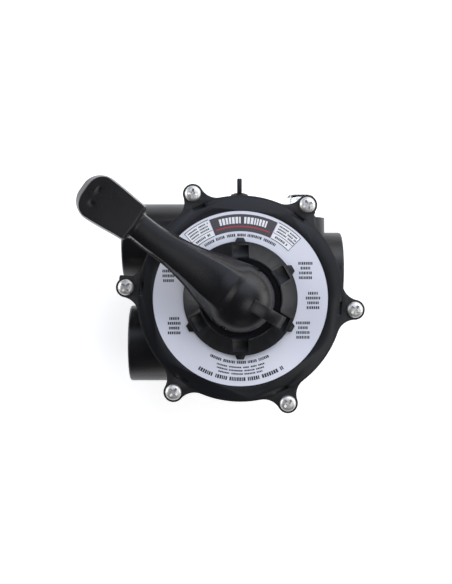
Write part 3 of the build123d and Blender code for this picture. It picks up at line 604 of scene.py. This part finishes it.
def make_screws():
    """Pan-head screws with a tapered cross recess and a cut thread."""
    low, high = span("cover_screws")
    seat = high.z - SCREW_HEAD_HEIGHT
    foot = low.z
    head = [(0.01, 0.0), (6.2, 0.0), (6.4, 0.25), (6.38, 1.0), (6.15, 1.8), (5.6, 2.55),
            (4.7, 3.1), (3.4, 3.45), (1.8, 3.58), (0.01, SCREW_HEAD_HEIGHT)]
    screw = turned("screw", head, (0, 0, seat), (0, 0, 1), 56)
    length, width, drop = 3.9, 0.95, 2.0
    for turn in (0, 90):
        bm = bmesh.new()
        loops = []
        for share, height in ((1.15, 3.9), (1.0, 3.2), (0.45, SCREW_HEAD_HEIGHT - drop)):
            loops.append([Vector((x * length * share, y * width * (0.6 + 0.4 * share), seat + height))
                          for x, y in ((-1, -1), (1, -1), (1, 1), (-1, 1))])
        skin_loops(bm, loops)
        blade = piece_from("cross_recess", bm)
        blade.rotation_euler.z = radians(turn)
        settle(blade)
        combine(screw, blade, "DIFFERENCE")
    reach = seat - foot + 0.6
    shank = turned("shank", [(0.01, 0), (2.2, 0), (2.95, 0.9), (2.95, reach), (0.01, reach)],
                   (0, 0, foot), (0, 0, 1), 40)
    cutter = thread_cutter(SCREW_THREAD_TURNS, 2.98, 11.5, SCREW_THREAD_DEPTH, 32)
    cutter.location.z = (foot + 0.2) * MM
    settle(cutter)
    combine(shank, cutter, "DIFFERENCE")
    combine(screw, shank, "UNION")
    set_round(screw, 50)
    finish_piece(screw, "casing", None, "screw_steel", "cover_screws")


def make_nuts():
    """Hexagon nuts, their corners turned away top and bottom."""
    low, high = (corner.z for corner in span("cover_nuts"))
    bm = bmesh.new()
    corner_radius = NUT_WIDTH / 2 / cos(radians(30))
    loops = []
    for height, share in ((low, 0.93), (low + 0.55, 1.0), (high - 0.55, 1.0), (high, 0.93)):
        loops.append([polar(corner_radius * share, 60 * i, height) for i in range(6)])
    skin_loops(bm, loops)
    nut = piece_from("nut", bm, 20)
    thick = high - low
    bore = turned("nut_bore", [(0.01, -1), (3.6, -1), (3.05, 0.4), (3.05, thick - 0.4),
                               (3.6, thick + 1), (0.01, thick + 1)], (0, 0, low), (0, 0, 1), 40)
    combine(nut, bore, "DIFFERENCE")
    set_round(nut, 20)
    finish_piece(nut, "casing", None, "screw_steel", "cover_nuts")


def make_spring():
    """Key spring, its foot on the washer that rises with the key and its top under the cover."""
    low, high = span("key_spring")
    length = high.z - low.z - 2 * SPRING_WIRE
    spring = helix("wound_key_spring", SPRING_TURNS, high.x - SPRING_WIRE, length,
                   SPRING_WIRE, 18, 56, SPRING_STEEL)
    spring.location.z = (low.z + SPRING_WIRE) * MM
    settle(spring, 60)
    finish_piece(spring, None, None, "spring_steel", "key_spring")
    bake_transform(spring)


# ---- Lever ----
def along_table(table, value):
    """Smooth value at a place in a table of (place, value) pairs."""
    if value <= table[0][0]:
        return table[0][1]
    for i in range(len(table) - 1):
        (low, a), (high, b) = table[i], table[i + 1]
        if value <= high:
            before = table[i - 1] if i else table[i]
            after = table[i + 2] if i + 2 < len(table) else table[i + 1]
            slope_a = (b - before[1]) / (high - before[0]) if high > before[0] else 0
            slope_b = (after[1] - a) / (after[0] - low) if after[0] > low else 0
            t = (value - low) / (high - low)
            step = high - low
            return ((2 * t**3 - 3 * t**2 + 1) * a + (t**3 - 2 * t**2 + t) * step * slope_a
                    + (3 * t**2 - 2 * t**3) * b + (t**3 - t**2) * step * slope_b)
    return table[-1][1]


def soft_min(a, b, width):
    """The lower of two values, rounded over a width."""
    mix = max(0.0, 1 - abs(a - b) / width)
    return min(a, b) - mix * mix * width / 4


def soft_max(a, b, width):
    """The higher of two values, rounded over a width."""
    return -soft_min(-a, -b, width)


# Heights are above the neck's foot; tables give a value at a distance from the pin along the arm.
HUB_RADIUS = 26.5
HUB_EDGE = 158.0            # top of the hub's upright wall
HUB_FOOT = 149.5
HUB_TOP = 176.0
GRIP_START = 99.0           # from the pin, along the arm
GRIP_END = 145.3
GRIP_CORNER = 15.5
UNDER_PITCH = 0.222         # rise of the grip's underside for each millimetre along it
RIDGE = [(0, 175.4), (26, 175.7), (48, 178.3), (74, 182.6), (93, 186.0), (100, 187.2)]
FLOOR_LINE = [(0, 157.0), (26, 160.0), (48, 163.5), (74, 169.5), (100, 175.5)]
ARM_FOOT_HALF = [(-30, 20.0), (0, 25.0), (12, 24.6), (26, 21.8), (40, 17.2), (52, 14.4), (62, 12.8),
                 (76, 11.8), (100, 11.4)]
ARM_TOP_HALF = [(-30, 10.0), (0, 14.5), (26, 14.2), (48, 11.6), (74, 9.8), (100, 9.4)]
GRIP_HALF = [(96, 15.7), (106, 16.3), (116, 17.3), (124, 17.9), (130, 18.2), (134, 18.2)]
GRIP_SHIFT = -1.0           # grip's middle, to the side of the arm's
MOULD_MARKS = [(132.5, -4.4, 1.0, 2.6), (131.3, 6.2, 1.7, 1.7)]   # along, across, half-sizes
RIBS = (50, 66, 82, 112, 122, 132)
LOCK_TILT = 4.5             # degrees of tilt between pressed and locked
TOP_PITCH = 0.178           # rise of the grip's top for each millimetre along it
GRIP_TOP = 188.0            # at its start


def outline_half(s):
    """Half-width of the lever's outline at a distance along the arm."""
    half = 0.0
    if abs(s) < HUB_RADIUS:
        half = sqrt(HUB_RADIUS**2 - s**2)
    if s > 0:
        foot_half = along_table(ARM_FOOT_HALF, s)
        half = soft_max(half, foot_half, 5.0) if s < 50 else foot_half
    if s > GRIP_START - 3:
        wide = along_table(GRIP_HALF, s)
        past = s - (GRIP_END - GRIP_CORNER)
        if past > 0:
            wide -= GRIP_CORNER - sqrt(max(0.0, GRIP_CORNER**2 - past**2))
        share = smooth_step(s, GRIP_START - 3, GRIP_START)
        half = half * (1 - share) + wide * share
    return half


def lever_floor(s):
    """Height of the lever's underside at a distance along the arm."""
    arm = along_table(FLOOR_LINE, s) + max(0.0, s - 100) * UNDER_PITCH
    share = smooth_step(s, HUB_RADIUS - 2.5, HUB_RADIUS + 1.5)
    return HUB_FOOT * (1 - share) + arm * share


def lever_top(s, y):
    """Height of the lever's upper surface."""
    half = outline_half(s)
    inset = half - abs(y)
    reach = (s * s + y * y) / HUB_RADIUS**2
    dome = HUB_EDGE + (HUB_TOP - HUB_EDGE) * sqrt(1 - reach) if reach < 1 else -1.0
    floor = lever_floor(s)
    top = dome
    if s > -8:
        half_top = along_table(ARM_TOP_HALF, s)
        ridge = along_table(RIDGE, min(s, 100))
        crown = ridge - 1.7 * (y / half_top) ** 2
        foot = along_table(FLOOR_LINE, s) if s < 100 else floor
        flange = foot + 1.5
        wall = flange + (ridge - flange) * max(0.0, inset - 0.8) / max(0.6, half - half_top - 0.6)
        arm = soft_min(crown, wall, 3.2)
        arm = max(arm, flange)
        share = smooth_step(s, -8, 12)
        arm = arm * share + (HUB_EDGE - 3) * (1 - share)
        top = soft_max(dome, arm, 7.0) if dome > 0 else arm
    if s > 91:
        plane = GRIP_TOP + (s - GRIP_START) * TOP_PITCH
        past = s - (GRIP_END - GRIP_CORNER)
        edge = inset
        lean = 1.2
        if past > 0:
            across = abs(y) - (along_table(GRIP_HALF, s) - GRIP_CORNER)
            if across > 0:
                out = sqrt(past * past + across * across)
                edge = GRIP_CORNER - out
                lean = 1.2 + 3.6 * (past / max(out, 0.01)) ** 2
            else:
                edge = GRIP_END - s
                lean = 4.8
        wall = floor + 1.0 + (plane - floor - 1.0) * max(0.0, edge) / lean
        grip = soft_min(plane, wall, 0.9)
        for place, across, long, wide in MOULD_MARKS:
            grip -= 0.55 * exp(-((s - place) / long) ** 2 - ((y - across) / wide) ** 2)
        share = smooth_step(s, GRIP_START - 5.0, GRIP_START - 1.0)
        top = top * (1 - share) + grip * share
    return max(top, floor + 0.8)


def lever_under(s, y, top):
    """Height of the underside: hollow under the arm and the grip, with a web between."""
    floor = lever_floor(s)
    inset = outline_half(s) - abs(y)
    room = smooth_step(inset, 2.4, 3.4)
    arm_room = smooth_step(s, 34, 36) * (1 - smooth_step(s, 94, 96))
    grip_room = smooth_step(s, 102, 104) * (1 - smooth_step(s, GRIP_END - 5.5, GRIP_END - 3.5))
    hollow = max(0.0, min(top - floor - 3.0, 9.5))
    rib = 0.0
    for place in RIBS:
        rib = max(rib, 1 - smooth_step(abs(s - place), 0.6, 1.1))
    return floor + hollow * room * max(arm_room, grip_room) * (1 - 0.55 * rib)


def make_lever():
    """Domed hub, climbing arm and flat grip as one skin, then tongue, feet, slot and bore."""
    # Sections bunch up where the outline turns, and stop just short of its ends.
    back = [-HUB_RADIUS * cos(pi / 2 * i / 26) * 0.9995 for i in range(26)]
    step = 0.85
    along = back + [step * i for i in range(int(GRIP_START / step) - 6)]
    start = along[-1]
    tip_start = GRIP_END - GRIP_CORNER
    along += [start + (tip_start - start) * i / 58 for i in range(1, 59)]
    along += [tip_start + GRIP_CORNER * sin(pi / 2 * i / 34) * 0.9985 for i in range(1, 35)]
    shares = [(i / 26) ** 1.75 for i in range(27)]
    across = [1 - share for share in shares] + [share - 1 for share in reversed(shares[:-1])]
    out = polar(1, ARM_ANGLE)
    side = Vector((-out.y, out.x, 0))
    bm = bmesh.new()
    loops = []
    for s in along:
        half = outline_half(s)
        middle = out * s + side * GRIP_SHIFT * smooth_step(s, GRIP_START - 20, GRIP_START + 1)
        tops = [lever_top(s, half * u) for u in across]
        upper = [middle + side * half * u + Vector((0, 0, z)) for u, z in zip(across, tops)]
        lower = [middle + side * half * u + Vector((0, 0, lever_under(s, half * u, z)))
                 for u, z in zip(across, tops)]
        loops.append(upper + list(reversed(lower)))
    skin_loops(bm, loops)
    lever = piece_from("lever_moulding", bm, 50)
    line = polar(1, LOCK_ANGLE)
    pin = Vector((-line.y, line.x, 0))

    def prism(name, outline, half_width, edge):
        """Outline in the plane of the tongue line, as (distance, height), widened both ways."""
        shape = bmesh.new()
        skin_loops(shape, [
            [line * x + Vector((0, 0, z)) + pin * width for x, z in outline]
            for width in (-half_width, half_width)])
        made = piece_from(name, shape)
        return soften(made, edge, 3) if edge else made

    tongue = [(-9, HUB_TOP - 4.0), (-9.5, HUB_TOP + 0.2), (-21, HUB_TOP - 2.2), (-26.5, HUB_TOP - 4.6),
              (-33.5, HUB_TOP - 10.2), (-37.2, HUB_TOP - 14.4), (-38, pin_z - 4.5),
              (-38, 149.6), (-35, 151.6), (-35, pin_z - 3), (-32, pin_z + 2.2),
              (-HUB_RADIUS + 1, HUB_TOP - 14), (-10, pin_z + 2)]
    combine(lever, prism("tongue", tongue, 4.8, 0.5), "UNION")
    rise = 2 * FULCRUM * sin(radians(LOCK_TILT))
    foot = [(FULCRUM, washer_top), (FULCRUM, HUB_FOOT + 1), (-FULCRUM, HUB_FOOT + 1),
            (-FULCRUM, washer_top + rise)]
    combine(lever, prism("feet", foot, 17.5, 0), "UNION")
    slot = [(-13, washer_top - 3), (13, washer_top - 3), (13, pin_z + 9), (-13, pin_z + 9)]
    combine(lever, prism("stem_slot", slot, 8.3, 0), "DIFFERENCE")
    bore = turned("pin_bore", [(0.01, -40), (3.05, -40), (3.05, 40), (0.01, 40)],
                  (0, 0, pin_z), pin, 40)
    combine(lever, bore, "DIFFERENCE")
    finish_piece(lever, "lever", LEVER_ABS, "handle_plastic", "handle")


# ---- Fittings ----
PLUG_REACH = 15.0           # from the boss that the plug sits on to the end of its wing
CUP_REACH = 18.3            # from the boss to the end of the clear cup


def make_plug():
    """Gauge-port plug: stepped flange, shank and a bevelled wing."""
    low, high = span("gauge_plug")
    middle = (low + high) / 2
    seat = high.y - PLUG_REACH
    profile = [(0.01, -11.0), (5.6, -11.0), (6.4, -10.2), (6.4, -1.9), (5.6, -1.8), (5.6, 0.0),
               (6.9, 0.0), (7.2, 0.3), (7.2, 1.7), (6.9, 2.1), (5.4, 2.3), (4.6, 3.0), (0.01, 3.0)]
    plug = turned("gauge_port_plug", profile, (0, seat, middle.z), (0, 1, 0), 56)
    wing = box_piece("plug_wing", (-2.0, seat + 2.0, middle.z - 6.5), (2.0, high.y, middle.z + 6.5))
    soften(wing, 0.7, 3)
    combine(plug, wing, "UNION")
    finish_piece(plug, "casing", PLUG_ABS, "plug_plastic", "gauge_plug")


def make_sight_glass():
    """Clear ribbed cup with a threaded shank."""
    low, high = span("sight_glass")
    centre = ((low.x + high.x) / 2, (low.z + high.z) / 2)
    seat = high.y - CUP_REACH
    profile = [(8.5, -12.0), (10.9, -12.0), (11.1, -11.5), (11.1, 0.0), (12.7, 0.0), (13.0, 0.4),
               (13.0, 3.2), (12.2, 3.9), (12.2, 14.5), (11.7, 16.4), (10.3, 17.8),
               (8.6, CUP_REACH), (0.05, CUP_REACH)]
    inner = [(0.05, 15.7), (7.0, 15.6), (8.1, 14.9), (8.5, 13.6)]
    glass = turned("sight_glass_cup", profile + inner, (centre[0], seat, centre[1]), (0, 1, 0), 72)
    bm = bmesh.new()
    bm.from_mesh(glass.data)
    # The two ends meet at the cup's rim, so their caps give way to a flat ring between them.
    caps = [face for face in bm.faces if len(face.verts) > 8]
    bmesh.ops.delete(bm, geom=caps, context="FACES_ONLY")
    rims = [edge for edge in bm.edges if edge.is_boundary]
    bmesh.ops.bridge_loops(bm, edges=rims)
    bmesh.ops.recalc_face_normals(bm, faces=bm.faces)
    bm.to_mesh(glass.data)
    bm.free()
    ribs = bmesh.new()
    for i in range(12):
        angle = 30 * i + 15
        around = Vector((cos(radians(angle)), 0, sin(radians(angle))))
        tangent = Vector((-around.z, 0, around.x))
        base = Vector((centre[0], seat, centre[1]))
        loops = []
        for along, reach in ((3.0, 12.98), (13.6, 12.98), (15.0, 12.3)):
            loops.append([base + Vector((0, along, 0)) + around * r + tangent * t
                          for r, t in ((11.6, -0.7), (reach, -0.45), (reach, 0.45), (11.6, 0.7))])
        skin_loops(ribs, loops)
    combine(glass, piece_from("glass_ribs", ribs), "UNION")
    finish_piece(glass, "casing", CLEAR, "clear_plastic", "sight_glass")


# ---- Print on the position plate ----
INK_HEIGHT = 0.06
PRINT_SEED = 11


def slab(bm, corners, low):
    """Thin closed slab over a ring of corners (x, y)."""
    bottom = [bm.verts.new(Vector((x, y, low)) * MM) for x, y in corners]
    top = [bm.verts.new(Vector((x, y, low + INK_HEIGHT)) * MM) for x, y in corners]
    count = len(corners)
    for i in range(count):
        j = (i + 1) % count
        bm.faces.new((bottom[i], bottom[j], top[j], top[i]))
    bm.faces.new(top)
    bm.faces.new(list(reversed(bottom)))


def band(bm, inner, outer, start, end, low):
    """Slab shaped as part of a ring, laid as a row of short cells."""
    steps = max(1, round(abs(end - start) / 1.5))
    for i in range(steps):
        a = start + (end - start) * i / steps
        b = start + (end - start) * (i + 1) / steps
        slab(bm, [polar(inner, a).xy, polar(outer, a).xy, polar(outer, b).xy, polar(inner, b).xy],
             low)


def inked(name, bm, ink_material):
    """Joins the cells' shared edges into one print film."""
    bmesh.ops.remove_doubles(bm, verts=bm.verts, dist=1e-7)
    made = piece_from(name, bm)
    finish_piece(made, "casing", ink_material, "label_plate")


def marks_on_arc(bm, dice, radius, height, start, end, low, gap=0.42, wide=1.0):
    """Row of small upright marks along an arc, in groups as long as words."""
    angle = start
    direction = 1 if end > start else -1
    left = 7                # marks still to come in this group
    while (end - angle) * direction > 0:
        width = dice.choice((0.7, 0.95, 1.15)) * wide
        step = degrees(width / radius)
        if left:
            inner, outer, ahead = radius - height / 2, radius + height / 2, angle + direction * step
            slab(bm, [polar(inner, angle).xy, polar(outer, angle).xy,
                      polar(outer, ahead).xy, polar(inner, ahead).xy], low)
        angle += direction * (step + degrees(gap / radius))
        left = left - 1 if left else dice.randint(4, 9)


def marks_in_block(bm, dice, x, y, lines, low):
    """Block of short, centred rows of plain marks where a position's name would be."""
    size, pitch, gap = 2.2, 3.8, 0.45
    for i in range(lines):
        widths = [dice.choice((0.75, 0.95, 1.1)) for _ in range(dice.randint(6, 9))]
        place = x - (sum(widths) + gap * (len(widths) - 1)) * 0.5
        row = y + (lines - 1) / 2 * pitch - i * pitch
        for width in widths:
            slab(bm, [(place, row - size / 2), (place + width, row - size / 2),
                      (place + width, row + size / 2), (place, row + size / 2)], low)
            place += width + gap


def make_print():
    """Banner, panels, rules and word-like rows of marks on the position plate."""
    dice = Random(PRINT_SEED)
    low = plate_top + 0.01
    over = low + INK_HEIGHT
    banner = bmesh.new()
    band(banner, 53.4, 67.0, 63.8, 111.7, low)
    inked("printed_banner", banner, INK_BANNER)
    panels = bmesh.new()
    band(panels, 53.4, 67.6, 45.0, 63.2, low)
    band(panels, 53.4, 67.6, 112.3, 131.0, low)
    inked("printed_panels", panels, PLATE_WHITE)
    rules = bmesh.new()
    for start, end in ((45.0, 63.2), (112.3, 131.0)):
        for inner, outer in ((53.3, 53.8), (58.3, 58.7), (67.2, 67.7)):
            band(rules, inner, outer, start, end, over)
    for angle in (45.0, 131.0):
        band(rules, 53.4, 67.6, angle - 0.2, angle + 0.2, over)
    inked("printed_rules", rules, INK_BLACK)
    stripe = bmesh.new()
    band(stripe, 56.6, 57.8, 66.0, 109.5, over)
    inked("printed_stripe", stripe, INK_RED)
    title = bmesh.new()
    marks_on_arc(title, dice, 62.2, 5.2, 105.5, 70.5, over, gap=0.75, wide=1.8)
    inked("printed_title_marks", title, PLATE_WHITE)
    rows = bmesh.new()
    for start, end in ((61.5, 46.5), (129.5, 114.0)):
        for radius in (60.6, 62.9, 65.2):
            marks_on_arc(rows, dice, radius, 1.1, start, end, over, gap=0.3)
        marks_on_arc(rows, dice, 56.0, 1.7, start - 1, end + 2, over)
    marks_on_arc(rows, dice, 50.4, 2.2, 124, 56, low)
    marks_on_arc(rows, dice, 50.6, 2.2, 242, 298, low)
    for radius, spread in ((54.6, 20), (57.2, 19), (59.8, 17)):
        marks_on_arc(rows, dice, radius, 1.2, 270 - spread, 270 + spread, low, gap=0.3)
    marks_on_arc(rows, dice, 63.9, 3.0, 239, 301, low, gap=0.5, wide=1.35)
    for x, y, lines in ((51.5, 22.2, 4), (57.5, -1.5, 4), (49.5, -25.0, 4), (-52.5, -21.5, 4),
                        (-57.0, 18.0, 3)):
        marks_in_block(rows, dice, x, y, lines, low)
    inked("printed_rows", rows, INK_BLACK)


make_stage()
make_camera()
paint(PLATE, "position_label")
paint(RUBBER, "cover_o_ring", "tank_o_ring", "standpipe_seal", "spider_gasket",
      "gauge_plug_o_ring", "sight_glass_gasket", "stem_o_rings")
paint(PTFE, "upper_slip_washer", "handle_washer")
paint(SPRING_STEEL, "lower_spring_washer")
paint(PIN_STEEL, "handle_pin")
paint(KEY_ABS, "key")
make_body()
make_cover()
make_screws()
make_nuts()
make_spring()
make_lever()
make_plug()
make_sight_glass()
make_print()
